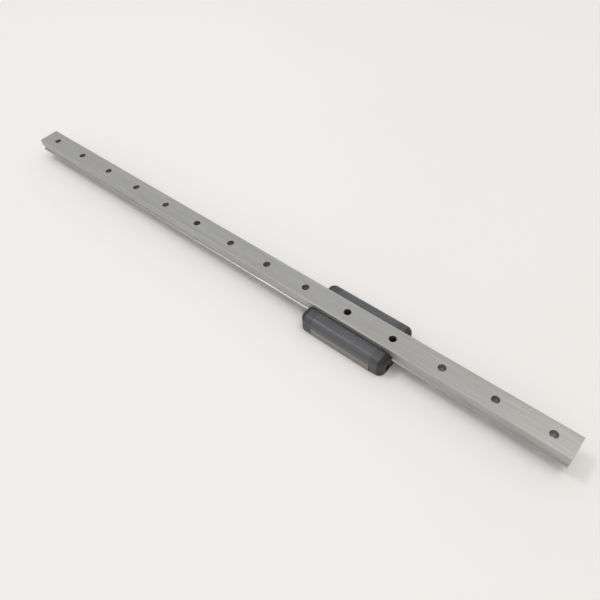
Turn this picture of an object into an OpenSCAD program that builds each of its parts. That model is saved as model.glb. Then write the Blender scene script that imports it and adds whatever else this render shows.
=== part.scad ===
// Miniature linear guide: a ground steel rail with one gothic groove on each
// side, and a long carriage with resin sides that recirculates two rows of
// balls. The guide lies upside down: the carriage's mounting face is on z = 0,
// facing down, and the rail's mounting face is the highest face, facing up.
// Origin: centre of the carriage's mounting face. +X runs along the rail to
// its near end, +Y across the rail, +Z from the carriage's face to the rail's base.
// Millimetres.

/* [Rail] */
// Width of the rail
rail_w = 12; // [11.8:0.1:12.2]
// Height of the rail
rail_h = 7.5; // [7.4:0.1:7.6]
// Distance between neighbouring mounting holes
hole_pitch = 25; // [24:0.5:26]
// Number of mounting holes
hole_count = 14; // [12:1:18]
// Distance from the far end of the rail to its first hole
rail_end = 10; // [5:1:20]
// Distance from the far end of the rail to the middle of the carriage
carriage_at = 240; // [60:5:280]
// Diameter of the through holes
bolt_d = 3.5; // [3:0.1:3.6]
// Diameter of the counterbores
cbore_d = 6; // [5.8:0.1:6.2]
// Depth of the counterbores
cbore_depth = 4.5; // [4:0.1:4.8]

/* [Carriage] */
// Height of the whole guide, rail base to carriage face
guide_h = 13; // [12.9:0.1:13.1]
// Width of the steel plate
car_w = 27; // [26.5:0.1:28]
// Length over the end seals
car_l = 47.1; // [46:0.1:50]
// Length of the steel block
block_l = 33.3; // [32:0.1:34]
// Thickness of the steel plate
plate_t = 4.5; // [4.3:0.1:4.6]
// Height of the resin sides above the carriage face
skirt_top = 10; // [9.9:0.1:10.2]
// Distance between tapped holes across the rail
tap_b = 20; // [19:0.5:21]
// Distance between tapped holes along the rail
tap_c = 20; // [15:0.5:22]
// Tap drill diameter of the mounting threads
tap_d = 2.5; // [2.4:0.1:2.6]
// Depth of the mounting threads
tap_depth = 3.5; // [3:0.1:3.6]
// Thickness of each resin end plate
endplate_t = 4.2; // [4:0.1:4.4]
// Thickness of each steel seal plate
sealplate_t = 0.5; // [0.4:0.1:0.6]
// Plan radius of the carriage's four corners
corner_r = 3.5; // [3.2:0.1:4]
// Radius of the resin's rounded upper edge
skirt_r = 3; // [2:0.1:3.1]

/* [Balls] */
// Ball diameter
ball_d = 2.38; // [2.3:0.01:2.4]
// Distance of the loaded row from the rail's middle plane
row_y = 6.2; // [6.15:0.01:6.25]
// Height of the ball rows above the carriage face
row_z = 7.9; // [7.85:0.01:8]
// Distance of the return row from the rail's middle plane
return_y = 10.1; // [10:0.05:10.3]
// Diameter of the return bores
return_d = 2.6; // [2.5:0.05:2.6]
// Radius of each of the two arcs of a gothic groove
groove_r = 1.25; // [1.24:0.01:1.27]
// Number of balls in each circuit
balls_n = 30; // [20:1:30]
// Diameter of the ball retaining wires
wire_d = 0.44; // [0.3:0.02:0.46]

/* [Hidden] */
$fn = 48;
e = 0.01;

rail_l = 2*rail_end + (hole_count - 1)*hole_pitch;
x0 = -carriage_at;              // far end of the rail
base_z = guide_h;               // rail's mounting face
head_z = guide_h - rail_h;      // rail's head, facing the carriage
gothic_e = 0.03;                // offset of each gothic arc's centre
relief_y = 4.25;                // bottom of the wire relief in the rail
relief_h = 0.84;
web_z = head_z - 0.5;           // floor of the channel in the block
leg_in = rail_w/2 + 0.45;
leg_out = 8.6;
leg_top = 9.45;
skirt_y = car_w/2 - 0.2;
end_x = block_l/2;
plate_x = end_x + endplate_t;
seal_x = plate_x + sealplate_t;
tip_x = car_l/2;
turn_r = (return_y - row_y)/2;
turn_y = (return_y + row_y)/2;
guide_r = turn_r - 0.1;         // return guide, at its rims
guide_h2 = 1.5;                 // half the return guide's height
end_z0 = 0.35;                  // the end parts stand clear of the mounting surface
screw_y = 7.9;
screw_z = 2.45;
screw_r = 1;
head_r = 1.7;
head_t = 1.0;
oil_z = 2.5;
wire_y = row_y - ball_d/2 - wire_d/2 - 0.05;
wire_x = end_x + 3.72;
bend_r = 0.8;

// a profile drawn as (across, up), swept along X from xa to xb
module along(xa, xb) {
    translate([xa, 0, 0]) rotate([90, 0, 90]) linear_extrude(xb - xa) children();
}

module both_sides() {
    children();
    mirror([0, 1, 0]) children();
}

// the right-hand points of a symmetric outline, with the left-hand ones added
function symmetric(p) = concat(p, [for (i = [len(p) - 1 : -1 : 0]) [-p[i][0], p[i][1]]]);

// the pointed opening where two arcs cross, seen along the groove
module gothic() {
    intersection() {
        translate([0, gothic_e]) circle(r = groove_r, $fn = 96);
        translate([0, -gothic_e]) circle(r = groove_r, $fn = 96);
    }
}

// ------------------------------------------------------------------ rail

module rail_outline() {
    c = 0.4;
    b = 0.3;
    polygon(symmetric([[rail_w/2 - c, head_z], [rail_w/2, head_z + c],
                       [rail_w/2, base_z - b], [rail_w/2 - b, base_z]]));
}

module rail_section() {
    difference() {
        rail_outline();
        for (s = [-1, 1]) {
            translate([s*row_y, row_z]) gothic();
            translate([s > 0 ? relief_y : -rail_w/2 - 1, row_z - relief_h/2])
                square([rail_w/2 + 1 - relief_y, relief_h]);
        }
    }
}

module rail() {
    color([0.55, 0.56, 0.57])
    difference() {
        along(x0, x0 + rail_l) rail_section();
        for (i = [0 : hole_count - 1]) translate([x0 + rail_end + i*hole_pitch, 0, 0]) {
            translate([0, 0, head_z - 1]) cylinder(d = bolt_d, h = rail_h + 2);
            translate([0, 0, head_z - 1]) cylinder(d = cbore_d, h = cbore_depth + 1);
            // broken edge at the mounting face
            translate([0, 0, base_z - 0.2]) cylinder(d1 = bolt_d, d2 = bolt_d + 0.8, h = 0.4);
            // broken edge of the counterbore
            translate([0, 0, head_z - 0.2]) cylinder(d1 = cbore_d + 0.8, d2 = cbore_d, h = 0.4);
        }
    }
}

// ------------------------------------------------------------------ steel block

module block_outline() {
    c = 0.3;
    polygon(symmetric([[car_w/2 - c, 0], [car_w/2, c], [car_w/2, plate_t - c],
                       [car_w/2 - c, plate_t], [leg_out, plate_t], [leg_out, leg_top],
                       [leg_in + 0.25, leg_top], [leg_in, leg_top - 0.25],
                       [leg_in, web_z + 0.3], [leg_in - 0.3, web_z]]));
}

module block_body() {
    color([0.6, 0.6, 0.58])
    difference() {
        along(-end_x, end_x) difference() {
            block_outline();
            for (s = [-1, 1]) translate([s*row_y, row_z]) gothic();
        }
        for (sx = [-1, 1], sy = [-1, 1]) {
            // mounting thread, drilled from the carriage face, with a drill point
            translate([sx*tap_c/2, sy*tap_b/2, -1]) cylinder(d = tap_d, h = tap_depth + 1);
            translate([sx*tap_c/2, sy*tap_b/2, tap_depth - e]) cylinder(d1 = tap_d, d2 = 0.1, h = 0.7);
            translate([sx*tap_c/2, sy*tap_b/2, -0.25]) cylinder(d1 = tap_d + 1.2, d2 = tap_d, h = 0.5);
            // threads for the end screws
            translate([sx > 0 ? end_x - 4.2 : -end_x - 1, sy*screw_y, screw_z])
                rotate([0, 90, 0]) cylinder(r = screw_r + 0.02, h = 5.2);
        }
    }
}

// ------------------------------------------------------------------ resin sides

module skirt_section() {
    difference() {
        union() {
            translate([leg_out, plate_t]) square([skirt_y - leg_out, skirt_top - skirt_r - plate_t]);
            translate([leg_out, skirt_top - skirt_r - e]) square([skirt_y - skirt_r - leg_out, skirt_r + e]);
            intersection() {
                translate([skirt_y - skirt_r, skirt_top - skirt_r]) circle(r = skirt_r, $fn = 96);
                translate([skirt_y - skirt_r - e, skirt_top - skirt_r - e]) square(skirt_r + 1);
            }
            translate([leg_in + 0.15, leg_top]) square([leg_out - leg_in - 0.15 + e, skirt_top - leg_top]);
        }
        translate([return_y, row_z]) circle(d = return_d);
    }
}

module return_skirt(s) {
    color([0.13, 0.14, 0.17])
    mirror([0, s > 0 ? 0 : 1, 0]) along(-end_x, end_x) skirt_section();
}

module return_skirt_left() { return_skirt(-1); }
module return_skirt_right() { return_skirt(1); }

// ------------------------------------------------------------------ end plates

// an outline rounded at its two upper corners, w to each side
module rounded_section(w) {
    translate([-w, end_z0]) square([2*w, skirt_top - skirt_r - end_z0]);
    translate([-w + skirt_r, end_z0]) square([2*(w - skirt_r), skirt_top - end_z0]);
    for (s = [-1, 1])
        translate([s*(w - skirt_r), skirt_top - skirt_r]) circle(r = skirt_r, $fn = 96);
}

// the same rounding as it turns a corner of the plan, r outwards from the corner's axis
module corner_section() {
    translate([0, end_z0]) square([corner_r, skirt_top - skirt_r - end_z0]);
    translate([0, end_z0]) square([corner_r - skirt_r, skirt_top - end_z0]);
    intersection() {
        translate([corner_r - skirt_r, skirt_top - skirt_r]) circle(r = skirt_r, $fn = 96);
        square([corner_r + 1, skirt_top + 1]);
    }
}

// the moulded outside of the carriage: rounded along its sides and ends and at its corners
module shell() {
    lx = tip_x - corner_r;
    ly = skirt_y - corner_r;
    along(-lx, lx) rounded_section(skirt_y);
    rotate([0, 0, 90]) along(-ly, ly) rounded_section(tip_x);
    for (q = [[lx, ly, 0], [-lx, ly, 90], [-lx, -ly, 180], [lx, -ly, 270]])
        translate([q[0], q[1], 0]) rotate([0, 0, q[2]]) rotate_extrude(angle = 90, $fn = 96)
            corner_section();
}

// a plain section that the shell then rounds
module slab() {
    translate([-skirt_y - 1, end_z0]) square([2*skirt_y + 2, skirt_top - end_z0 + 1]);
}

// the carriage's outline inset by g, for the steel plate that stiffens each seal
module inset_section(g) {
    w = skirt_y;
    translate([-w + g, end_z0 + g]) square([2*(w - g), skirt_top - skirt_r - end_z0 - g]);
    translate([-w + skirt_r, end_z0 + g]) square([2*(w - skirt_r), skirt_top - end_z0 - 2*g]);
    for (s = [-1, 1])
        translate([s*(w - skirt_r), skirt_top - skirt_r]) circle(r = skirt_r - g, $fn = 96);
}

// the plate's own outline: it sits in a pocket in the back of the rubber
module plate_section() {
    difference() {
        inset_section(0.7);
        channel(0.8);
    }
}

// the channel for the rail, with a gap g all round
module channel(g) {
    translate([-rail_w/2 - g, head_z - g]) square([rail_w + 2*g, 20]);
}

// modelled at the +X end; the rear parts are its mirror image
module end_plate() {
    intersection() {
        difference() {
            along(end_x, plate_x) difference() { slab(); channel(0.4); }
            both_sides() {
                // turnaround of the ball circuit and the seat of its inner guide
                translate([end_x, turn_y, row_z]) {
                    rotate_extrude() translate([turn_r, 0]) circle(d = return_d);
                    translate([0, 0, -guide_h2]) cylinder(r = guide_r, h = 2*guide_h2);
                }
                // clearance hole for the end screw
                translate([end_x - 1, screw_y, screw_z]) rotate([0, 90, 0])
                    cylinder(r = 1.1, h = endplate_t + 2);
                // seat of the retaining wire's bent end
                translate([wire_x, rail_w/2, row_z]) rotate([-90, 0, 0])
                    cylinder(d = wire_d + 0.06, h = 2.6);
            }
            // lubrication port
            translate([end_x - 1, 0, oil_z]) rotate([0, 90, 0]) cylinder(d = 2, h = endplate_t + 2);
        }
        shell();
    }
}

module end_plate_front() { color([0.1, 0.1, 0.12]) end_plate(); }
module end_plate_rear() { color([0.1, 0.1, 0.12]) mirror([1, 0, 0]) end_plate(); }

// ------------------------------------------------------------------ seals

module seal_plate() {
    difference() {
        along(plate_x, seal_x) plate_section();
        both_sides() translate([plate_x - 1, screw_y, screw_z]) rotate([0, 90, 0])
            cylinder(r = 1.1, h = sealplate_t + 2);
        translate([plate_x - 1, 0, oil_z]) rotate([0, 90, 0]) cylinder(d = 2, h = sealplate_t + 2);
    }
}

// rubber seal: its mouth follows the rail, with lips reaching into the grooves
module end_seal() {
    intersection() {
        difference() {
            along(plate_x, tip_x) {
                difference() { slab(); channel(0.12); }
                for (s = [-1, 1]) intersection() {
                    translate([s*row_y, row_z]) circle(r = groove_r - gothic_e - 0.12);
                    translate([s*8 - 3, row_z - 3]) square([6, 6]);
                }
            }
            along(plate_x - 1, seal_x) plate_section();
            both_sides() translate([seal_x - 1, screw_y, screw_z]) rotate([0, 90, 0])
                cylinder(r = head_r + 0.1, h = 5);
            translate([seal_x - 1, 0, oil_z]) rotate([0, 90, 0]) cylinder(d = 2, h = 5);
        }
        shell();
    }
}

module seal_plate_front() { color([0.7, 0.71, 0.72]) seal_plate(); }
module seal_plate_rear() { color([0.7, 0.71, 0.72]) mirror([1, 0, 0]) seal_plate(); }
module end_seal_front() { color([0.06, 0.06, 0.07]) end_seal(); }
module end_seal_rear() { color([0.06, 0.06, 0.07]) mirror([1, 0, 0]) end_seal(); }

// ------------------------------------------------------------------ end screws

// low-head cross-recess screw, head seated on the steel seal plate
module end_screw() {
    difference() {
        union() {
            translate([end_x - 3.8, 0, 0]) rotate([0, 90, 0])
                cylinder(r = screw_r, h = seal_x - end_x + 3.8 + e);
            translate([seal_x, 0, 0]) rotate([0, 90, 0]) cylinder(r = head_r, h = head_t - 0.2);
            translate([seal_x + head_t - 0.2, 0, 0]) rotate([0, 90, 0])
                cylinder(r1 = head_r, r2 = head_r - 0.25, h = 0.2);
        }
        for (a = [0, 90]) translate([seal_x + head_t - 0.6, 0, 0]) rotate([a + 20, 0, 0])
            translate([0, -0.9, -0.18]) cube([2, 1.8, 0.36]);
    }
}

module end_screws() { both_sides() translate([0, screw_y, screw_z]) end_screw(); }
module end_screws_front() { color([0.35, 0.35, 0.37]) end_screws(); }
module end_screws_rear() { color([0.35, 0.35, 0.37]) mirror([1, 0, 0]) end_screws(); }

// ------------------------------------------------------------------ ball circuits

// inner guide of a turnaround: half a grooved roller, flat against the block
module return_guide() {
    translate([end_x, turn_y, row_z]) rotate([0, 0, -90]) rotate_extrude(angle = 180)
        difference() {
            translate([0, -guide_h2]) square([guide_r, 2*guide_h2]);
            translate([turn_r, 0]) circle(d = return_d);
        }
}

module return_guide_front_right() { color([0.8, 0.8, 0.76]) return_guide(); }
module return_guide_front_left() { color([0.8, 0.8, 0.76]) mirror([0, 1, 0]) return_guide(); }
module return_guide_rear_right() { color([0.8, 0.8, 0.76]) mirror([1, 0, 0]) return_guide(); }
module return_guide_rear_left() { color([0.8, 0.8, 0.76]) mirror([1, 0, 0]) mirror([0, 1, 0]) return_guide(); }

// wire that keeps the loaded balls in when the carriage is off its rail;
// it runs in the relief at the bottom of the rail's groove
module wire_end() {
    translate([wire_x - bend_r, wire_y + bend_r, row_z])
        rotate([0, 0, -90]) rotate_extrude(angle = 90) translate([bend_r, 0]) circle(d = wire_d);
    translate([wire_x, wire_y + bend_r, row_z]) rotate([-90, 0, 0])
        cylinder(d = wire_d, h = 8.3 - wire_y - bend_r);
}

module retainer_wire() {
    translate([-wire_x + bend_r, wire_y, row_z]) rotate([0, 90, 0])
        cylinder(d = wire_d, h = 2*(wire_x - bend_r));
    wire_end();
    mirror([1, 0, 0]) wire_end();
}

module retainer_wire_right() { color([0.75, 0.75, 0.76]) retainer_wire(); }
module retainer_wire_left() { color([0.75, 0.75, 0.76]) mirror([0, 1, 0]) retainer_wire(); }

// closed path of the ball centres: loaded row, turn, return row, turn
arc_l = PI*turn_r;
loop_l = 2*block_l + 2*arc_l;
function on_loop(s) =
    s < block_l ? [-end_x + s, row_y] :
    s < block_l + arc_l ?
        let (a = (s - block_l)/turn_r*180/PI) [end_x + turn_r*sin(a), turn_y - turn_r*cos(a)] :
    s < 2*block_l + arc_l ? [end_x - (s - block_l - arc_l), return_y] :
        let (a = (s - 2*block_l - arc_l)/turn_r*180/PI) [-end_x - turn_r*sin(a), turn_y + turn_r*cos(a)];

module ball_circuit() {
    for (i = [0 : balls_n - 1]) let (p = on_loop((i + 0.5)*loop_l/balls_n))
        translate([p[0], p[1], row_z]) sphere(d = ball_d);
}

module ball_circuit_right() { color([0.85, 0.86, 0.88]) ball_circuit(); }
module ball_circuit_left() { color([0.85, 0.86, 0.88]) mirror([0, 1, 0]) ball_circuit(); }

rail();
block_body();
return_skirt_left();
return_skirt_right();
end_plate_front();
end_plate_rear();
seal_plate_front();
seal_plate_rear();
end_seal_front();
end_seal_rear();
end_screws_front();
end_screws_rear();
return_guide_front_left();
return_guide_front_right();
return_guide_rear_left();
return_guide_rear_right();
retainer_wire_left();
retainer_wire_right();
ball_circuit_left();
ball_circuit_right();
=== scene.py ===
"""Linear guide: a ground steel rail and a recirculating-ball carriage, lying with the rail's base up."""

import math
import bmesh
import bpy
from mathutils import Matrix, Vector


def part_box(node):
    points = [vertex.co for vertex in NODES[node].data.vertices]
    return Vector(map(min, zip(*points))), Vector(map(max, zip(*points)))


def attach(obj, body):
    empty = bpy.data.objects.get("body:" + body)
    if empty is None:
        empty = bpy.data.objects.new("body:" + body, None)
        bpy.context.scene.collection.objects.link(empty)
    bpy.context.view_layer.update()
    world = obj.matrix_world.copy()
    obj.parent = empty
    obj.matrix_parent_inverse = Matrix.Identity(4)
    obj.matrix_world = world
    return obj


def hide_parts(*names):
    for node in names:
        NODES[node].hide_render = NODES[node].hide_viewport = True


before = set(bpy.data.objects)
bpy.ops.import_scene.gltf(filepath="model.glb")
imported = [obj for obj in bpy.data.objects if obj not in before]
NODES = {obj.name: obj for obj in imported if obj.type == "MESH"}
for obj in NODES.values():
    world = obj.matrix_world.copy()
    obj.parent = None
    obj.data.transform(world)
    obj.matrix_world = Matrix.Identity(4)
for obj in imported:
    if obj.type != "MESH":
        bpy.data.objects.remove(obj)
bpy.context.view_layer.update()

MM = 0.001

# ------------------------------------------------------------------ sizes, in millimetres, as the CAD model has them
rail_lo, rail_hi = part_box("rail")
block_lo, block_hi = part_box("block_body")
plate_lo, plate_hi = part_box("end_plate_front")
seal_lo, seal_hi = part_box("end_seal_front")

RAIL_X0, RAIL_X1 = rail_lo.x / MM, rail_hi.x / MM
RAIL_W = 12.0
HEAD_Z, BASE_Z = 5.5, 13.0
PITCH, HOLES, RAIL_END = 25.0, 14, 10.0
ROW_Y, ROW_Z = 6.2, 7.9
GROOVE_R, GOTHIC_E = 1.25, 0.03
RETURN_Y, RETURN_D = 10.1, 2.6
END_X = block_hi.x / MM
PLATE_X = plate_hi.x / MM
SEAL_X = PLATE_X + 0.5
TIP_X = seal_hi.x / MM
SKIRT_Y, SKIRT_TOP, SKIRT_R, CORNER_R, END_Z0 = 13.3, 10.0, 3.0, 3.5, 0.35
LEG_IN, LEG_OUT, LEG_TOP, WEB_Z = 6.45, 8.6, 9.45, 5.0
CAR_W, PLATE_T = 27.0, 4.5
SCREW_Y, SCREW_Z, OIL_Z = 7.9, 2.45, 2.5
HEAD_R, HEAD_T = 1.7, 1.0

scene = bpy.context.scene
COL = scene.collection


# ------------------------------------------------------------------ mesh tools (all build in millimetres)
def new_object(name, bm):
    bmesh.ops.recalc_face_normals(bm, faces=bm.faces[:])
    me = bpy.data.meshes.new(name)
    bm.to_mesh(me)
    bm.free()
    o = bpy.data.objects.new(name, me)
    COL.objects.link(o)
    return o


def prism(name, pts, stations):
    """A closed outline of (across, up) points swept along X through the stations."""
    bm = bmesh.new()
    rings = [[bm.verts.new((x, p[0], p[1])) for p in pts] for x in stations]
    n = len(pts)
    for a, b in zip(rings, rings[1:]):
        for i in range(n):
            j = (i + 1) % n
            bm.faces.new((a[i], a[j], b[j], b[i]))
    bm.faces.new(rings[0][::-1])
    bm.faces.new(rings[-1])
    return new_object(name, bm)


def lathe(name, prof, centre, axis="Z", seg=64):
    """A closed solid turned about an axis through centre: prof is (radius, along) from one pole to the other."""
    bm = bmesh.new()
    rings = []
    for r, h in prof:
        ring = []
        for i in range(seg):
            t = 2 * math.pi * (i + 0.5) / seg
            u, v = r * math.cos(t), r * math.sin(t)
            p = {"Z": (u, v, h), "X": (h, u, v), "Y": (v, h, u)}[axis]
            ring.append(bm.verts.new((p[0] + centre[0], p[1] + centre[1], p[2] + centre[2])))
        rings.append(ring)
    for a, b in zip(rings, rings[1:]):
        for i in range(seg):
            j = (i + 1) % seg
            bm.faces.new((a[i], a[j], b[j], b[i]))
    bm.faces.new(rings[0][::-1])
    bm.faces.new(rings[-1])
    return new_object(name, bm)


def threaded(name, centre, axis, lo, hi, minor, major, pitch, seg=40, steps=10, sign=1, taper=0.0):
    """A closed rod whose surface is a single-start thread. taper brings the crest down to the root at both ends."""
    bm = bmesh.new()
    n = max(2, int(round((hi - lo) / pitch * steps)))
    rings = []
    for k in range(n + 1):
        h = lo + (hi - lo) * k / n
        fade = 1.0
        if taper > 0:
            fade = max(0.0, min(1.0, (h - lo) / taper, (hi - h) / taper))
        ring = []
        for i in range(seg):
            t = i / seg
            ph = (h / pitch - sign * t) % 1.0
            tri = 1 - abs(2 * ph - 1)
            tri = min(1.0, max(0.0, (tri - 0.14) / 0.74))
            r = minor + (major - minor) * tri * fade
            u, v = r * math.cos(2 * math.pi * t), r * math.sin(2 * math.pi * t)
            p = {"Z": (u, v, h), "X": (h, u, v)}[axis]
            ring.append(bm.verts.new((p[0] + centre[0], p[1] + centre[1], p[2] + centre[2])))
        rings.append(ring)
    for a, b in zip(rings, rings[1:]):
        for i in range(seg):
            j = (i + 1) % seg
            bm.faces.new((a[i], a[j], b[j], b[i]))
    bm.faces.new(rings[0][::-1])
    bm.faces.new(rings[-1])
    return new_object(name, bm)


def torus(name, centre, major, minor, seg=56, tube=28):
    bm = bmesh.new()
    rings = []
    for i in range(seg):
        a = 2 * math.pi * (i + 0.5) / seg
        ring = []
        for k in range(tube):
            b = 2 * math.pi * k / tube
            r = major + minor * math.cos(b)
            ring.append(bm.verts.new((centre[0] + r * math.cos(a), centre[1] + r * math.sin(a), centre[2] + minor * math.sin(b))))
        rings.append(ring)
    for i in range(seg):
        a, b = rings[i], rings[(i + 1) % seg]
        for k in range(tube):
            j = (k + 1) % tube
            bm.faces.new((a[k], b[k], b[j], a[j]))
    return new_object(name, bm)


def block(name, lo, hi):
    return prism(name, [(lo[1], lo[2]), (hi[1], lo[2]), (hi[1], hi[2]), (lo[1], hi[2])], (lo[0], hi[0]))


def plan_ring(hx, hy, r, z, seg):
    """A rounded rectangle of half sizes hx, hy and corner radius r, at height z."""
    out = []
    for q, (sx, sy) in enumerate(((1, 1), (-1, 1), (-1, -1), (1, -1))):
        cx, cy = sx * (hx - r), sy * (hy - r)
        for i in range(seg + 1):
            a = math.pi / 2 * (q + i / seg)
            out.append((cx + r * math.cos(a), cy + r * math.sin(a), z))
    return out


def moulded_shell(name):
    """The carriage's moulded outline: rounded in plan at its corners, and with a rounded upper rim all round."""
    bm = bmesh.new()
    levels = [(0.0, -1.0), (0.0, 7.0)]
    steps = 20
    for k in range(1, steps + 1):
        a = math.pi / 2 * k / steps
        levels.append((SKIRT_R * (1 - math.cos(a)), SKIRT_TOP - SKIRT_R + SKIRT_R * math.sin(a)))
    rings = []
    for inset, z in levels:
        rings.append([bm.verts.new(p) for p in plan_ring(TIP_X - inset, SKIRT_Y - inset, CORNER_R - inset, z, 20)])
    n = len(rings[0])
    for a, b in zip(rings, rings[1:]):
        for i in range(n):
            j = (i + 1) % n
            bm.faces.new((a[i], a[j], b[j], b[i]))
    bm.faces.new(rings[0][::-1])
    bm.faces.new(rings[-1])
    return new_object(name, bm)


def cut(a, cutters, op="DIFFERENCE"):
    """Applies booleans in turn and removes the cutters."""
    bpy.context.view_layer.update()
    for c in cutters:
        m = a.modifiers.new("cut", "BOOLEAN")
        m.operation = op
        m.object = c
        m.solver = "EXACT"
        dg = bpy.context.evaluated_depsgraph_get()
        dg.update()
        me = bpy.data.meshes.new_from_object(a.evaluated_get(dg))
        old = a.data
        a.modifiers.clear()
        a.data = me
        me.name = a.name
        bpy.data.meshes.remove(old)
        mesh = c.data
        bpy.data.objects.remove(c)
        bpy.data.meshes.remove(mesh)
        bpy.context.view_layer.update()
    return a


def joined(name, objs):
    """One object of several separate closed solids, so that one boolean cuts them all."""
    bm = bmesh.new()
    for o in objs:
        bm.from_mesh(o.data)
        me = o.data
        bpy.data.objects.remove(o)
        bpy.data.meshes.remove(me)
    return new_object(name, bm)


def tidy(o, dist=1e-4):
    """Merges doubled points and removes faces with no area."""
    bm = bmesh.new()
    bm.from_mesh(o.data)
    bmesh.ops.remove_doubles(bm, verts=bm.verts[:], dist=dist)
    bmesh.ops.dissolve_degenerate(bm, dist=dist, edges=bm.edges[:])
    bm.to_mesh(o.data)
    bm.free()
    return o


def bevel(o, width, segments=2, min_angle=35.0, where=None):
    """Rounds the sharp edges that where(point) accepts."""
    bm = bmesh.new()
    bm.from_mesh(o.data)
    layer = bm.edges.layers.float.get("bevel_weight_edge") or bm.edges.layers.float.new("bevel_weight_edge")
    for e in bm.edges:
        w = 0.0
        if len(e.link_faces) == 2 and e.calc_face_angle(0.0) > math.radians(min_angle):
            if where is None or (where(e.verts[0].co) and where(e.verts[1].co)):
                w = 1.0
        e[layer] = w
    bm.to_mesh(o.data)
    bm.free()
    m = o.modifiers.new("edge", "BEVEL")
    m.limit_method = "WEIGHT"
    m.width = width
    m.segments = segments
    m.use_clamp_overlap = False
    m.miter_outer = "MITER_SHARP"
    m.harden_normals = False
    dg = bpy.context.evaluated_depsgraph_get()
    dg.update()
    me = bpy.data.meshes.new_from_object(o.evaluated_get(dg))
    old = o.data
    o.modifiers.clear()
    o.data = me
    me.name = o.name
    bpy.data.meshes.remove(old)
    return o


def finish_mesh(o, smooth_angle=32.0, weighted=True):
    """To metres, smooth shaded across small angles."""
    me = o.data
    me.transform(Matrix.Scale(MM, 4))
    for p in me.polygons:
        p.use_smooth = True
    me.set_sharp_from_angle(angle=math.radians(smooth_angle))
    if weighted:
        m = o.modifiers.new("normals", "WEIGHTED_NORMAL")
        m.mode = "FACE_AREA_WITH_ANGLE"
        m.weight = 50
        m.keep_sharp = True
    return o


def paint(o, mats, pick):
    """Gives each face one of the materials: pick(centre in mm, normal) returns its index."""
    o.data.materials.clear()
    for m in mats:
        o.data.materials.append(m)
    for p in o.data.polygons:
        c = p.center / MM
        p.material_index = pick(c, p.normal)


# ------------------------------------------------------------------ materials
class Nodes:
    def __init__(self, name):
        self.mat = bpy.data.materials.new(name)
        self.mat.use_nodes = True
        self.tree = self.mat.node_tree
        self.tree.nodes.clear()
        self.out = self.add("ShaderNodeOutputMaterial")
        self.bsdf = self.add("ShaderNodeBsdfPrincipled")
        self.link(self.bsdf, "BSDF", self.out, "Surface")
        self.coord = self.add("ShaderNodeTexCoord")

    def add(self, kind, **props):
        n = self.tree.nodes.new(kind)
        for k, v in props.items():
            setattr(n, k, v)
        return n

    def link(self, a, i, b, j):
        self.tree.links.new(a.outputs[i], b.inputs[j])

    def mapped(self, scale, rotation=(0, 0, 0)):
        m = self.add("ShaderNodeMapping")
        m.inputs["Scale"].default_value = scale
        m.inputs["Rotation"].default_value = rotation
        self.link(self.coord, "Object", m, "Vector")
        return m

    def noise(self, scale, detail=3.0, rough=0.55, size=1.0, rotation=(0, 0, 0), distortion=0.0):
        m = self.mapped(scale, rotation)
        n = self.add("ShaderNodeTexNoise")
        n.inputs["Scale"].default_value = size
        n.inputs["Detail"].default_value = detail
        n.inputs["Roughness"].default_value = rough
        n.inputs["Distortion"].default_value = distortion
        self.link(m, "Vector", n, "Vector")
        return n

    def remap(self, src, out, lo, hi, a, b, clamp=True):
        m = self.add("ShaderNodeMapRange")
        m.clamp = clamp
        m.inputs["From Min"].default_value = lo
        m.inputs["From Max"].default_value = hi
        m.inputs["To Min"].default_value = a
        m.inputs["To Max"].default_value = b
        self.tree.links.new(src.outputs[out], m.inputs["Value"])
        return m

    def math(self, op, a, b):
        m = self.add("ShaderNodeMath", operation=op)
        for i, v in enumerate((a, b)):
            if isinstance(v, (int, float)):
                m.inputs[i].default_value = v
            else:
                self.tree.links.new(v.outputs[0], m.inputs[i])
        return m

    def ramp(self, src, out, stops):
        r = self.add("ShaderNodeValToRGB")
        els = r.color_ramp.elements
        while len(els) < len(stops):
            els.new(0.5)
        for e, (pos, col) in zip(els, stops):
            e.position = pos
            e.color = (*col, 1.0)
        self.tree.links.new(src.outputs[out], r.inputs["Fac"])
        return r

    def mix(self, fac, a, b, mode="MIX"):
        m = self.add("ShaderNodeMix", data_type="RGBA", blend_type=mode)
        f = m.inputs["Factor"]
        if isinstance(fac, (int, float)):
            f.default_value = fac
        else:
            self.tree.links.new(fac.outputs[0], f)
        for sock, v in ((m.inputs[6], a), (m.inputs[7], b)):
            if isinstance(v, tuple):
                sock.default_value = (*v, 1.0)
            else:
                self.tree.links.new(v.outputs[0] if v.bl_idname != "ShaderNodeMix" else v.outputs[2], sock)
        return m

    def colour(self, node):
        out = node.outputs[2] if node.bl_idname == "ShaderNodeMix" else node.outputs[0]
        self.tree.links.new(out, self.bsdf.inputs["Base Color"])

    def roughness(self, node):
        self.tree.links.new(node.outputs[0], self.bsdf.inputs["Roughness"])

    def bump(self, height, strength, distance, below=None):
        b = self.add("ShaderNodeBump")
        b.inputs["Strength"].default_value = strength
        b.inputs["Distance"].default_value = distance
        self.tree.links.new(height.outputs[0], b.inputs["Height"])
        if below is not None:
            self.link(below, "Normal", b, "Normal")
        self.link(b, "Normal", self.bsdf, "Normal")
        return b

    def set(self, **values):
        for k, v in values.items():
            self.bsdf.inputs[k.replace("_", " ")].default_value = v


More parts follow.
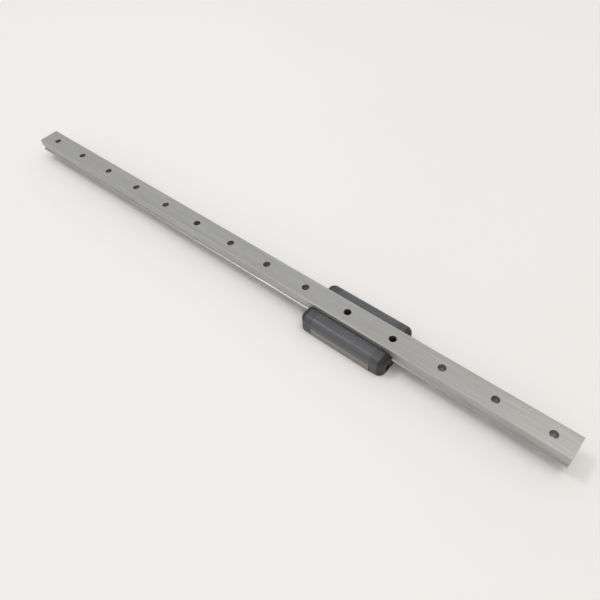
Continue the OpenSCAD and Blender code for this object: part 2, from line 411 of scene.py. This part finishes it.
def steel_ground(name, dark, light, rough, across="Y", streak=1.0):
    """Ground steel: fine lines along X, broader soft bands, faint oil and handling marks."""
    n = Nodes(name)
    n.set(Metallic=1.0)
    fine = n.noise((70, 5200, 5200), detail=4.0, rough=0.6)
    broad = n.noise((9, 620, 620), detail=3.0, rough=0.5)
    blot = n.noise((38, 60, 60), detail=4.0, rough=0.6, distortion=0.6)
    lines = n.math("ADD", n.math("MULTIPLY", fine, 0.6), n.math("MULTIPLY", broad, 0.4))
    tone = n.ramp(lines, 0, [(0.36, dark), (0.66, light)])
    stain = n.remap(blot, 0, 0.42, 0.72, 0.0, 0.32)
    tint = n.mix(stain, tone, tuple(c * f for c, f in zip(dark, (0.86, 0.85, 0.80))))
    n.colour(tint)
    r = n.math("ADD", n.remap(lines, 0, 0.35, 0.7, rough - 0.06, rough + 0.08), n.remap(blot, 0, 0.35, 0.7, -0.03, 0.07))
    n.roughness(r)
    low = n.add("ShaderNodeBump")
    low.inputs["Strength"].default_value = 0.25 * streak
    low.inputs["Distance"].default_value = 0.00002
    n.tree.links.new(broad.outputs[0], low.inputs["Height"])
    n.bump(fine, 0.5 * streak, 0.000006, below=low)
    return n.mat


def steel_turned(name, base, rough):
    """Drilled and cut steel: rings round the hole, darker with oil."""
    n = Nodes(name)
    n.set(Metallic=1.0)
    rings = n.noise((300, 300, 9000), detail=3.0)
    blot = n.noise((240, 240, 240), detail=3.0)
    n.colour(n.ramp(blot, 0, [(0.3, tuple(c * 0.55 for c in base)), (0.7, base)]))
    n.roughness(n.remap(rings, 0, 0.3, 0.7, rough - 0.1, rough + 0.12))
    n.bump(rings, 0.5, 0.00001)
    return n.mat


def steel_sawn(name, base, rough):
    """Cut end of the rail: fine arcs of an abrasive wheel."""
    n = Nodes(name)
    n.set(Metallic=1.0)
    arcs = n.noise((3000, 500, 3800), detail=3.0, rotation=(0.35, 0, 0))
    blot = n.noise((160, 160, 160), detail=4.0)
    n.colour(n.ramp(blot, 0, [(0.3, tuple(c * 0.8 for c in base)), (0.72, base)]))
    n.roughness(n.remap(arcs, 0, 0.3, 0.7, rough - 0.08, rough + 0.1))
    n.bump(arcs, 0.5, 0.00001)
    return n.mat


def raceway(name):
    n = Nodes(name)
    n.set(Metallic=1.0)
    lines = n.noise((30, 7000, 7000), detail=3.0)
    blot = n.noise((90, 300, 300), detail=3.0)
    n.colour(n.ramp(blot, 0, [(0.3, (0.36, 0.36, 0.36)), (0.7, (0.46, 0.46, 0.455))]))
    n.roughness(n.remap(lines, 0, 0.3, 0.7, 0.30, 0.40))
    n.bump(lines, 0.3, 0.000003)
    return n.mat


def resin(name, base, lighter, rough=0.36):
    """Glass-filled moulding resin: fine orange peel, faint flow marks and a few rubbed scratches."""
    n = Nodes(name)
    n.bsdf.inputs["IOR"].default_value = 1.5
    peel = n.noise((2600, 2600, 2600), detail=3.0, rough=0.6)
    flow = n.noise((50, 320, 320), detail=5.0, rough=0.55, distortion=0.8)
    rub = n.noise((120, 2600, 2600), detail=2.0, rotation=(0.2, 0.5, 0.22))
    rub2 = n.noise((1900, 140, 1900), detail=2.0, rotation=(0.1, 0.3, 0.75))
    mark = n.math("MAXIMUM", n.remap(rub, 0, 0.69, 0.76, 0.0, 1.0), n.remap(rub2, 0, 0.71, 0.78, 0.0, 0.8))
    tone = n.ramp(flow, 0, [(0.3, base), (0.72, lighter)])
    n.colour(n.mix(n.math("MULTIPLY", mark, 0.35), tone, tuple(c * 2.6 for c in lighter)))
    r = n.math("ADD", n.remap(flow, 0, 0.3, 0.7, rough - 0.05, rough + 0.07), n.math("MULTIPLY", mark, 0.14))
    n.roughness(r)
    low = n.add("ShaderNodeBump")
    low.inputs["Strength"].default_value = 0.35
    low.inputs["Distance"].default_value = 0.00004
    n.tree.links.new(flow.outputs[0], low.inputs["Height"])
    n.bump(peel, 0.35, 0.000008, below=low)
    return n.mat


def rubber(name):
    n = Nodes(name)
    n.bsdf.inputs["IOR"].default_value = 1.5
    n.set(Specular_IOR_Level=0.35, Sheen_Weight=0.12, Sheen_Roughness=0.5)
    grain = n.noise((4200, 4200, 4200), detail=4.0, rough=0.65)
    bloom = n.noise((260, 260, 260), detail=4.0, rough=0.6, distortion=0.5)
    n.colour(n.ramp(bloom, 0, [(0.32, (0.016, 0.016, 0.018)), (0.75, (0.036, 0.035, 0.036))]))
    n.roughness(n.remap(bloom, 0, 0.3, 0.7, 0.5, 0.68))
    n.bump(grain, 0.45, 0.00001)
    return n.mat


def black_oxide(name):
    n = Nodes(name)
    n.set(Metallic=1.0)
    blot = n.noise((1500, 1500, 1500), detail=4.0)
    fine = n.noise((9000, 9000, 9000), detail=2.0)
    n.colour(n.ramp(blot, 0, [(0.3, (0.05, 0.05, 0.055)), (0.72, (0.14, 0.14, 0.145))]))
    n.roughness(n.remap(blot, 0, 0.3, 0.7, 0.3, 0.5))
    n.bump(fine, 0.3, 0.000005)
    return n.mat


def lapped(name):
    n = Nodes(name)
    n.set(Metallic=1.0)
    haze = n.noise((700, 700, 700), detail=4.0)
    fine = n.noise((16000, 16000, 16000), detail=2.0)
    n.colour(n.ramp(haze, 0, [(0.3, (0.74, 0.75, 0.77)), (0.7, (0.84, 0.85, 0.86))]))
    n.roughness(n.remap(haze, 0, 0.3, 0.7, 0.05, 0.13))
    n.bump(fine, 0.1, 0.000002)
    return n.mat


def drawn_wire(name):
    n = Nodes(name)
    n.set(Metallic=1.0)
    lines = n.noise((200, 14000, 14000), detail=3.0)
    blot = n.noise((400, 400, 400), detail=3.0)
    n.colour(n.ramp(blot, 0, [(0.3, (0.5, 0.5, 0.5)), (0.7, (0.68, 0.68, 0.67))]))
    n.roughness(n.remap(lines, 0, 0.3, 0.7, 0.2, 0.34))
    n.bump(lines, 0.3, 0.000004)
    return n.mat


def stamped(name):
    n = Nodes(name)
    n.set(Metallic=1.0)
    roll = n.noise((6000, 130, 6000), detail=4.0)
    blot = n.noise((220, 220, 220), detail=4.0)
    n.colour(n.ramp(blot, 0, [(0.3, (0.46, 0.46, 0.45)), (0.7, (0.6, 0.6, 0.6))]))
    n.roughness(n.remap(roll, 0, 0.3, 0.7, 0.26, 0.42))
    n.bump(roll, 0.35, 0.000006)
    return n.mat


def natural_resin(name):
    n = Nodes(name)
    n.bsdf.inputs["IOR"].default_value = 1.48
    n.set(Subsurface_Weight=0.15, Subsurface_Scale=0.0006)
    flow = n.noise((500, 500, 500), detail=4.0)
    peel = n.noise((5200, 5200, 5200), detail=3.0)
    n.colour(n.ramp(flow, 0, [(0.3, (0.62, 0.60, 0.53)), (0.7, (0.74, 0.72, 0.66))]))
    n.roughness(n.remap(flow, 0, 0.3, 0.7, 0.38, 0.52))
    n.bump(peel, 0.3, 0.000008)
    return n.mat


M_BASE = steel_ground("rail_ground", (0.395, 0.392, 0.377), (0.508, 0.504, 0.486), 0.35)
# painted light: the rail's sides get a lighter copy of the base steel's colour, so they read brighter than the lamps
# alone make them
M_SIDE = steel_ground("rail_side_ground", (0.44, 0.434, 0.415), (0.55, 0.543, 0.522), 0.50)
M_GROOVE = raceway("raceway_polished")
# painted light: the bore walls are lighter than the rail's ground steel, so the holes read grey instead of dark
M_BORE = steel_turned("rail_bores", (0.52, 0.51, 0.50), 0.48)
M_END = steel_sawn("rail_cut_ends", (0.42, 0.42, 0.41), 0.36)
M_BLOCK = steel_ground("block_ground", (0.29, 0.281, 0.255), (0.365, 0.355, 0.325), 0.38)
M_BLOCK_MILL = steel_sawn("block_milled", (0.36, 0.355, 0.35), 0.40)
M_THREAD = steel_turned("block_threads", (0.30, 0.295, 0.285), 0.36)
M_RESIN = resin("resin_sides", (0.074, 0.075, 0.081), (0.096, 0.097, 0.104), rough=0.33)
# painted shade: the end plates get a darker copy of the side resin, so the carriage's ends read darker than the lamps
# make them
M_RESIN_END = resin("resin_ends", (0.052, 0.053, 0.058), (0.070, 0.071, 0.077), rough=0.40)
M_RUBBER = rubber("seal_rubber")
M_SCREW = black_oxide("screw_black_oxide")
M_BALL = lapped("ball_lapped")
M_WIRE = drawn_wire("wire_drawn")
M_PLATE = stamped("seal_plate_stamped")
M_GUIDE = natural_resin("guide_natural_resin")


# ------------------------------------------------------------------ rail
def gothic_side():
    """Right side of the rail from its base down to its head, with the pointed groove and the wire relief."""
    up = []
    zc = ROW_Z - GOTHIC_E
    a0 = math.acos((RAIL_W / 2 - ROW_Y) / GROOVE_R)  # mouth
    rel = 0.42
    a1 = math.pi - math.asin((rel + GOTHIC_E) / GROOVE_R)
    steps = 14
    for i in range(steps + 1):
        a = a0 + (a1 - a0) * i / steps
        up.append((ROW_Y + GROOVE_R * math.cos(a), zc + GROOVE_R * math.sin(a)))
    low = [(y, 2 * ROW_Z - z) for y, z in up][::-1]
    relief = [(4.25, ROW_Z + rel), (4.25, ROW_Z - rel)]
    return up + relief + low


def rail_profile():
    c, b = 0.4, 0.3
    right = [(RAIL_W / 2 - b, BASE_Z), (RAIL_W / 2, BASE_Z - b)] + gothic_side() + [(RAIL_W / 2, HEAD_Z + c), (RAIL_W / 2 - c, HEAD_Z)]
    left = [(-y, z) for y, z in right][::-1]
    return right + left


def build_rail():
    hole_x = [RAIL_X0 + RAIL_END + i * PITCH for i in range(HOLES)]
    stations = [RAIL_X0] + [x + PITCH / 2 for x in hole_x[:-1]] + [RAIL_X1]
    rail = prism("rail_body", rail_profile(), stations)
    cutters = []
    for x in hole_x:
        prof = [
            (3.0 + 0.45, HEAD_Z - 1.0), (3.0 + 0.25, HEAD_Z - 0.001), (3.0, HEAD_Z + 0.25),
            (3.0, HEAD_Z + 4.38), (2.88, HEAD_Z + 4.5), (1.93, HEAD_Z + 4.5), (1.75, HEAD_Z + 4.66),
            (1.75, BASE_Z - 0.2), (1.95, BASE_Z + 0.001), (2.3, BASE_Z + 1.0),
        ]
        cutters.append(lathe("hole", prof, (x, 0, 0), "Z", 72))
    cut(rail, [joined("holes", cutters)])
    tidy(rail)

    def long_edges(p):
        r = min(math.hypot(p.x - x, p.y) for x in hole_x)
        return r > 1.0

    bevel(rail, 0.05, 2, 32.0, long_edges)
    finish_mesh(rail)

    def pick(c, nrm):
        if c.x < RAIL_X0 + 0.02 or c.x > RAIL_X1 - 0.02:
            if abs(nrm.x) > 0.9:
                return 4
        d = min(math.hypot(c.x - x, c.y) for x in hole_x)
        if d < 3.35 and abs(nrm.z) < 0.98 and abs(c.y) < 3.6 and HEAD_Z + 0.01 < c.z < BASE_Z - 0.01:
            return 3
        if d < 3.05 and HEAD_Z + 1 < c.z < BASE_Z - 1:
            return 3
        if abs(c.y) < RAIL_W / 2 - 0.04 and abs(c.y) > 4.0 and HEAD_Z + 0.9 < c.z < BASE_Z - 3:
            return 2
        if abs(nrm.y) > 0.6:
            return 1
        return 0

    paint(rail, [M_BASE, M_SIDE, M_GROOVE, M_BORE, M_END], pick)
    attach(rail, "rail")
    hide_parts("rail")
    return rail


# ------------------------------------------------------------------ steel block
def block_profile():
    c = 0.3
    zc = ROW_Z - GOTHIC_E
    a0 = math.acos((LEG_IN - ROW_Y) / GROOVE_R)
    # the two arcs meet in a point at the groove's bottom
    tip = math.asin(GOTHIC_E / GROOVE_R)
    top = []
    for i in range(17):
        a = a0 + (tip - a0) * i / 16
        top.append((ROW_Y + GROOVE_R * math.cos(a), zc + GROOVE_R * math.sin(a)))
    low = [(y, 2 * ROW_Z - z) for y, z in top[:-1]][::-1]
    right = [(CAR_W / 2 - c, 0), (CAR_W / 2, c), (CAR_W / 2, PLATE_T - c), (CAR_W / 2 - c, PLATE_T), (LEG_OUT, PLATE_T), (LEG_OUT, LEG_TOP),
             (LEG_IN + 0.25, LEG_TOP), (LEG_IN, LEG_TOP - 0.25)] + top + low + [(LEG_IN, WEB_Z + 0.3), (LEG_IN - 0.3, WEB_Z)]
    left = [(-y, z) for y, z in right][::-1]
    return right + left


def build_block():
    o = prism("steel_block", block_profile(), (-END_X, 0.0, END_X))
    points, taps, ends = [], [], []
    for sx in (-1, 1):
        for sy in (-1, 1):
            c = (sx * 10.0, sy * 10.0, 0)
            points.append(lathe("point", [(1.8, -1.0), (1.6, 0.0), (1.25, 0.35), (1.25, 3.5), (0.06, 4.18)], c, "Z", 48))
            taps.append(threaded("tap", c, "Z", 0.12, 3.45, 1.22, 1.5, 0.5, seg=40, steps=8, taper=0.35))
            ends.append(lathe("endhole", [(1.02, min(sx * (END_X - 4.2), sx * (END_X + 1))), (1.02, max(sx * (END_X - 4.2), sx * (END_X + 1)))],
                              (0, sy * SCREW_Y, SCREW_Z), "X", 40))
    cut(o, [joined("points", points), joined("taps", taps), joined("ends", ends)])
    tidy(o, 2e-4)

    def outer(p):
        return not (abs(abs(p.x) - 10) < 2.2 and abs(abs(p.y) - 10) < 2.2) and not (abs(abs(p.y) - SCREW_Y) < 1.1 and abs(p.z - SCREW_Z) < 1.1)

    bevel(o, 0.06, 2, 32.0, outer)
    finish_mesh(o)

    def pick(c, nrm):
        tap = math.hypot(abs(c.x) - 10, abs(c.y) - 10)
        if tap < 1.7 and c.z > 0.01:
            return 2
        if ROW_Y < abs(c.y) < 7.6 and abs(c.z - ROW_Z) < 1.24 and abs(nrm.x) < 0.5:
            return 1
        if abs(nrm.x) > 0.8 or c.z > 4.7:
            return 3
        return 0

    paint(o, [M_BLOCK, M_GROOVE, M_THREAD, M_BLOCK_MILL], pick)
    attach(o, "carriage")
    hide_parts("block_body")
    return o


# ------------------------------------------------------------------ resin sides
def build_skirt(side):
    s = 1 if side == "right" else -1
    pts = [(SKIRT_Y, PLATE_T), (SKIRT_Y, SKIRT_TOP - SKIRT_R)]
    for i in range(1, 25):
        a = math.pi / 2 * i / 24
        pts.append((SKIRT_Y - SKIRT_R + SKIRT_R * math.cos(a), SKIRT_TOP - SKIRT_R + SKIRT_R * math.sin(a)))
    # a thin lip reaches over the steel leg to 0.22 mm from the rail and covers the balls
    pts += [(RAIL_W / 2 + 0.22, SKIRT_TOP), (RAIL_W / 2 + 0.22, SKIRT_TOP - 0.3), (LEG_IN + 0.15, LEG_TOP), (LEG_OUT, LEG_TOP), (LEG_OUT, PLATE_T)]
    pts = [(s * y, z) for y, z in pts]
    o = prism("side_" + side, pts, (-END_X, END_X))
    bore = lathe("bore", [(RETURN_D / 2, -END_X - 1), (RETURN_D / 2, END_X + 1)], (0, s * RETURN_Y, ROW_Z), "X", 48)
    cut(o, [bore])
    tidy(o)
    bevel(o, 0.09, 3, 40.0, lambda p: True)
    finish_mesh(o)
    paint(o, [M_RESIN], lambda c, n: 0)
    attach(o, "carriage")
    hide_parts("return_skirt_" + side)
    return o


# ------------------------------------------------------------------ resin end plates
def channel_prism(name, g, x0, x1, round_r=0.0):
    w = RAIL_W / 2 + g
    z0 = HEAD_Z - g
    pts = [(w, 20.0), (w, z0), (-w, z0), (-w, 20.0)]
    return prism(name, pts, (x0, x1))


def build_end_plate(end):
    s = 1 if end == "front" else -1
    o = moulded_shell("end_cap_" + end)
    cut(o, [block("slab", (END_X, -20, END_Z0), (PLATE_X, 20, 20))], "INTERSECT")
    tools = [channel_prism("ch", 0.4, END_X - 1, PLATE_X + 1)]
    turn_r = (RETURN_Y - ROW_Y) / 2
    turn_y = (RETURN_Y + ROW_Y) / 2
    for sy in (-1, 1):
        tools.append(torus("turn", (END_X, sy * turn_y, ROW_Z), turn_r, RETURN_D / 2))
        tools.append(lathe("seat", [(turn_r - 0.1, -1.5), (turn_r - 0.1, 1.5)], (END_X, sy * turn_y, ROW_Z), "Z", 56))
        tools.append(lathe("clear", [(1.1, END_X - 1), (1.1, PLATE_X + 1)], (0, sy * SCREW_Y, SCREW_Z), "X", 40))
        y0, y1 = (RAIL_W / 2, RAIL_W / 2 + 2.6) if sy > 0 else (-RAIL_W / 2 - 2.6, -RAIL_W / 2)
        tools.append(lathe("wireseat", [(0.25, y0), (0.25, y1)], (END_X + 3.72, 0, ROW_Z), "Y", 20))
    tools.append(lathe("port", [(1.0, END_X - 1), (1.0, PLATE_X + 1)], (0, 0, OIL_Z), "X", 40))
    cut(o, tools)
    tidy(o)

    def outer(p):
        inner = abs(abs(p.y) - turn_y) < 3.6 and abs(p.z - ROW_Z) < 1.62 and p.x < PLATE_X - 0.05 and abs(p.y) > RAIL_W / 2 + 0.45
        hole = abs(abs(p.y) - SCREW_Y) < 1.2 and abs(p.z - SCREW_Z) < 1.2
        return not inner and not hole and not (abs(p.y) < 1.1 and abs(p.z - OIL_Z) < 1.1)

    bevel(o, 0.09, 3, 40.0, outer)
    if s < 0:
        o.data.transform(Matrix.Diagonal((-1, 1, 1, 1)))
        o.data.flip_normals()
    finish_mesh(o)
    paint(o, [M_RESIN_END], lambda c, n: 0)
    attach(o, "carriage")
    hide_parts("end_plate_" + end)
    return o


# ------------------------------------------------------------------ rubber end seals
def arc_pts(cx, cy, r, a0, a1, n):
    return [(cx + r * math.cos(math.radians(a0 + (a1 - a0) * i / n)), cy + r * math.sin(math.radians(a0 + (a1 - a0) * i / n))) for i in range(n + 1)]


def inset_pts(g):
    """The carriage's outline inset by g."""
    w = SKIRT_Y
    r = SKIRT_R - g
    right = arc_pts(w - SKIRT_R, SKIRT_TOP - SKIRT_R, r, 90, 0, 16) + [(w - g, END_Z0 + g)]
    return right + [(-y, z) for y, z in right][::-1]


def seal_mouth():
    """The seal's opening, 0.12 mm clear of the rail, with a rounded lip into each groove. Listed round the opening from the top left."""
    g = 0.12
    w = RAIL_W / 2 + g
    z0 = HEAD_Z - g
    r = GROOVE_R - GOTHIC_E - g
    dy = w - ROW_Y
    a = math.degrees(math.acos(dy / r))
    lip = arc_pts(ROW_Y, ROW_Z, r, a, 360 - a, 20)  # from the upper mouth point inwards and back
    right = [(w, 20.0)] + lip + [(w, z0 + 0.42), (w - 0.42, z0)]
    return [(-y, z) for y, z in right] + right[::-1]


def build_seal(end):
    s = 1 if end == "front" else -1
    o = moulded_shell("rubber_seal_" + end)
    cut(o, [block("slab", (PLATE_X, -20, END_Z0), (TIP_X + 1, 20, 20))], "INTERSECT")
    mouth = prism("mouth", seal_mouth(), (PLATE_X - 1, TIP_X + 1))
    plate = prism("pocket", inset_pts(0.7), (PLATE_X - 1, SEAL_X))
    tools = [plate, mouth]
    # shallow panel in the outer face, which leaves a raised lip round the rail and a rim round the edge
    panel = [(-9.4, 1.25), (9.4, 1.25), (9.7, 1.55), (9.7, 6.0), (9.4, 6.3), (7.75, 6.3), (7.45, 6.0), (7.45, 4.25), (7.15, 3.95),
             (-7.15, 3.95), (-7.45, 4.25), (-7.45, 6.0), (-7.75, 6.3), (-9.4, 6.3), (-9.7, 6.0), (-9.7, 1.55)]
    tools.append(prism("panel", panel, (TIP_X - 0.3, TIP_X + 1)))
    for sy in (-1, 1):
        tools.append(lathe("well", [(HEAD_R + 0.1, SEAL_X - 0.2), (HEAD_R + 0.1, TIP_X + 1)], (0, sy * SCREW_Y, SCREW_Z), "X", 48))
    tools.append(lathe("port", [(1.0, PLATE_X - 1), (1.0, TIP_X + 1)], (0, 0, OIL_Z), "X", 40))
    cut(o, tools)
    tidy(o)
    bevel(o, 0.07, 3, 40.0, lambda p: True)
    if s < 0:
        o.data.transform(Matrix.Diagonal((-1, 1, 1, 1)))
        o.data.flip_normals()
    finish_mesh(o)
    paint(o, [M_RUBBER], lambda c, n: 0)
    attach(o, "carriage")
    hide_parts("end_seal_" + end)
    return o


# ------------------------------------------------------------------ end screws
def build_screws(end):
    s = 1 if end == "front" else -1
    made = []
    for sy in (-1, 1):
        c = (0, sy * SCREW_Y, SCREW_Z)
        shank = threaded("shank", c, "X", END_X - 3.8, SEAL_X - 0.1, 0.8, 0.98, 0.4, seg=32, steps=8, taper=0.3)
        dome = [(0.78, SEAL_X - 0.6), (0.78, SEAL_X), (HEAD_R - 0.06, SEAL_X), (HEAD_R, SEAL_X + 0.06), (HEAD_R, SEAL_X + HEAD_T - 0.36)]
        for i in range(1, 7):
            a = math.pi / 2 * i / 6
            dome.append((HEAD_R - 0.3 * (1 - math.cos(a)), SEAL_X + HEAD_T - 0.36 + 0.3 * math.sin(a)))
        dome.append((0.9, SEAL_X + HEAD_T))
        head = lathe("head", dome, c, "X", 64)
        cut(head, [shank], "UNION")
        cross = []
        for a in (0, 90):
            pts = [(-0.95, -0.19), (0.95, -0.19), (0.95, 0.19), (-0.95, 0.19)]
            t = math.radians(a + 20 + 15 * (sy > 0))
            b = bmesh.new()
            rot = [(y * math.cos(t) - z * math.sin(t), y * math.sin(t) + z * math.cos(t)) for y, z in pts]
            inner = [(0.45 * y if abs(y) > 0.5 else y, z) for y, z in pts]
            rin = [(y * math.cos(t) - z * math.sin(t), y * math.sin(t) + z * math.cos(t)) for y, z in inner]
            lo_r = [b.verts.new((SEAL_X + 0.3, c[1] + y, c[2] + z)) for y, z in rin]
            hi_r = [b.verts.new((SEAL_X + HEAD_T + 0.1, c[1] + y, c[2] + z)) for y, z in rot]
            for i in range(4):
                j = (i + 1) % 4
                b.faces.new((lo_r[i], lo_r[j], hi_r[j], hi_r[i]))
            b.faces.new(lo_r[::-1])
            b.faces.new(hi_r)
            cross.append(new_object("cross", b))
        cut(head, cross)
        made.append(head)
    o = joined("cap_screws_" + end, made)
    tidy(o)
    if s < 0:
        o.data.transform(Matrix.Diagonal((-1, 1, 1, 1)))
        o.data.flip_normals()
    finish_mesh(o, 35)
    paint(o, [M_SCREW], lambda c, n: 0)
    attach(o, "carriage")
    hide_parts("end_screws_" + end)
    return o


build_rail()
build_block()
for side in ("left", "right"):
    build_skirt(side)
for end in ("front", "rear"):
    build_end_plate(end)
    build_seal(end)
    build_screws(end)

# ------------------------------------------------------------------ carried-over CAD nodes
KEEP = {"ball_circuit": M_BALL, "retainer_wire": M_WIRE, "seal_plate": M_PLATE, "return_guide": M_GUIDE}
for name, o in NODES.items():
    for key, mat in KEEP.items():
        if name.startswith(key):
            o.data.materials.clear()
            o.data.materials.append(mat)

# ------------------------------------------------------------------ floor
bm = bmesh.new()
bmesh.ops.create_grid(bm, x_segments=2, y_segments=2, size=4.0)
floor = new_object("floor", bm)
floor.location = (0, 0, -0.00002)
fl = Nodes("floor_paper")
grain = fl.noise((900, 900, 900), detail=3.0)
wash = fl.noise((2.5, 2.5, 2.5), detail=2.0)
fl.colour(fl.ramp(wash, 0, [(0.3, (0.80, 0.778, 0.752)), (0.7, (0.82, 0.798, 0.775))]))
fl.roughness(fl.remap(grain, 0, 0.3, 0.7, 0.62, 0.72))
fl.bump(grain, 0.1, 0.00002)
floor.data.materials.append(fl.mat)

# ------------------------------------------------------------------ light
world = bpy.data.worlds.new("studio")
scene.world = world
world.use_nodes = True
bg = world.node_tree.nodes["Background"]
bg.inputs["Color"].default_value = (0.985, 0.985, 0.98, 1.0)
bg.inputs["Strength"].default_value = 0.73


def area(name, direction, distance, size, power, colour=(1, 1, 1), target=(-0.06, 0, 0)):
    d = Vector(direction).normalized()
    light = bpy.data.lights.new(name, "AREA")
    light.shape = "RECTANGLE"
    light.size, light.size_y = size
    light.energy = power
    light.color = colour
    o = bpy.data.objects.new(name, light)
    COL.objects.link(o)
    o.location = Vector(target) + d * distance
    o.rotation_mode = "QUATERNION"
    o.rotation_quaternion = (-d).to_track_quat("-Z", "Y")
    return o


area("key", (0.24, 0.14, 0.96), 1.4, (0.6, 0.6), 4.1, (1.0, 0.98, 0.95))
area("top", (-0.44, -0.14, 0.89), 1.3, (0.42, 0.20), 3.4, (0.92, 0.94, 1.0))

# ------------------------------------------------------------------ camera
cam_data = bpy.data.cameras.new("camera")
cam_data.lens = 36.0
cam_data.sensor_width = 36.0
cam_data.clip_start = 0.01
cam_data.clip_end = 20.0
cam = bpy.data.objects.new("camera", cam_data)
COL.objects.link(cam)
right = Vector((0.76958, 0.63639, -0.05252)).normalized()
back = Vector((0.43613, -0.46376, 0.77118)).normalized()
up = back.cross(right).normalized()
right = up.cross(back).normalized()
rot = Matrix((right, up, back)).transposed()
cam.matrix_world = Matrix.Translation((0.09635, -0.13900, 0.23117)) @ rot.to_4x4()
scene.camera = cam

scene.view_settings.view_transform = "Standard"
scene.view_settings.look = "None"
